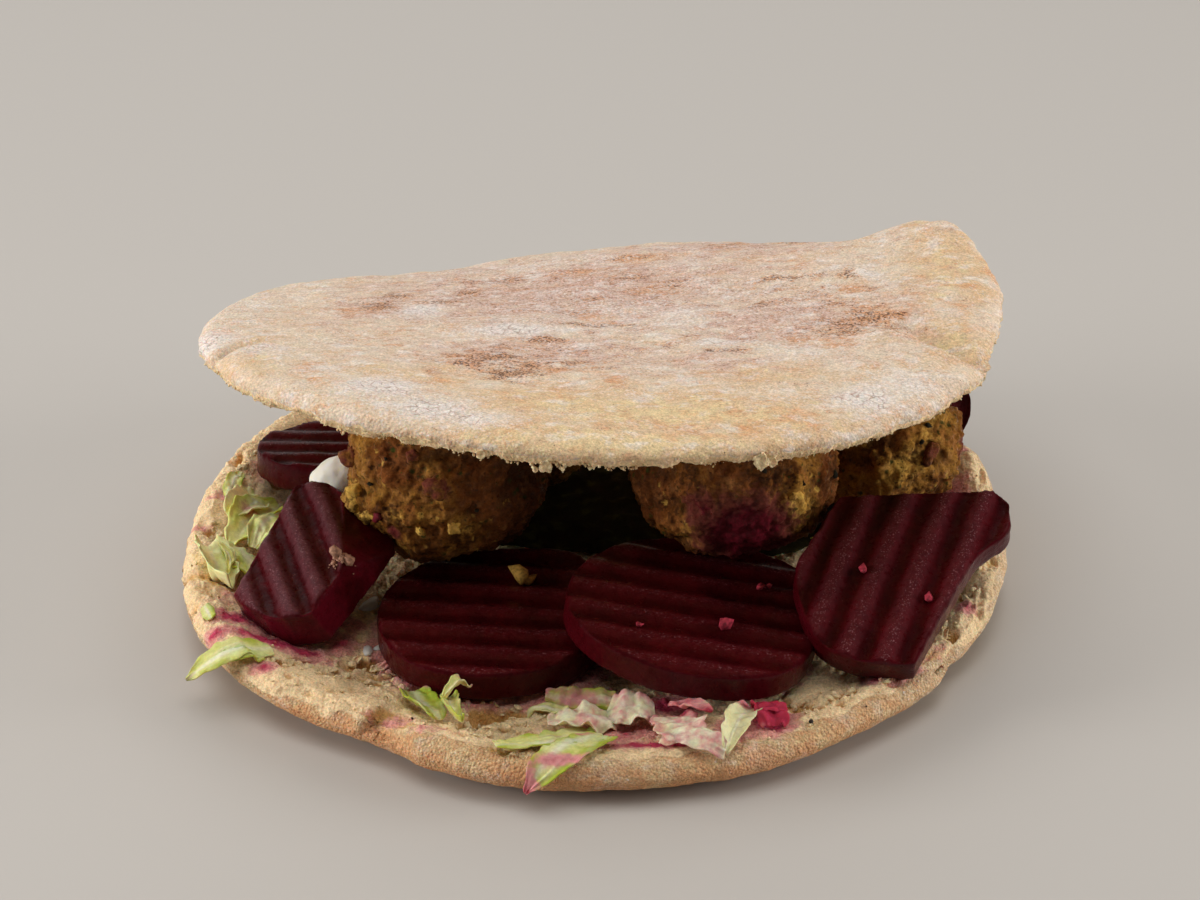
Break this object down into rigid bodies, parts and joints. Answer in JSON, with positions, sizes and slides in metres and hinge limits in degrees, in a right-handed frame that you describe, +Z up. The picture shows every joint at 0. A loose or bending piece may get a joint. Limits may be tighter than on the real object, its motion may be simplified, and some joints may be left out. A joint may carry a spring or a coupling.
{
  "type": "falafel pita",
  "caption": "Round pita bread split open at the front, filled with falafel balls, ridged slices of pickled beetroot, shredded lettuce and white sauce.",
  "frame": {"origin": "middle of the flat underside of the lower half, on the surface that the pita lies on", "axes": "+Z up; the open side faces -Y and the two halves meet at +Y; +X to the right seen from the open side"},
  "size_m": [0.1487, 0.1479, 0.061],
  "materials": {
    "bread": "baked crust, dusted with flour outside, torn crumb inside",
    "falafel": "fried, coarse and speckled with herbs",
    "beetroot": "wet, wavy cut",
    "sauce": "smooth and creamy",
    "green_lettuce": "waxy leaf",
    "pale_lettuce": "waxy leaf, pale towards the rib",
    "pink_lettuce": "leaf stained by beetroot juice"
  },
  "bodies": {
    "root": {"pita_bottom": "bread", "pita_top": "bread", "falafel_left": "falafel", "falafel_middle": "falafel", "falafel_back": "falafel", "falafel_right": "falafel", "beet_back_left": "beetroot", "beet_left": "beetroot", "beet_front_left": "beetroot", "beet_front_middle": "beetroot", "beet_right": "beetroot", "beet_back_right": "beetroot", "sauce_dollop": "sauce", "lettuce_bed": "green_lettuce", "lettuce_curl_left": "green_lettuce", "lettuce_bit_left": "green_lettuce", "lettuce_strip_front": "green_lettuce", "lettuce_under_beets": "green_lettuce", "lettuce_cup_left": "pale_lettuce", "lettuce_tip_left": "pale_lettuce", "lettuce_rib_front": "pale_lettuce", "lettuce_leaf_front": "pale_lettuce", "lettuce_pale_shred": "pale_lettuce", "lettuce_pink_shred": "pink_lettuce", "lettuce_pink_piece": "pink_lettuce"}
  },
  "joints": []
}
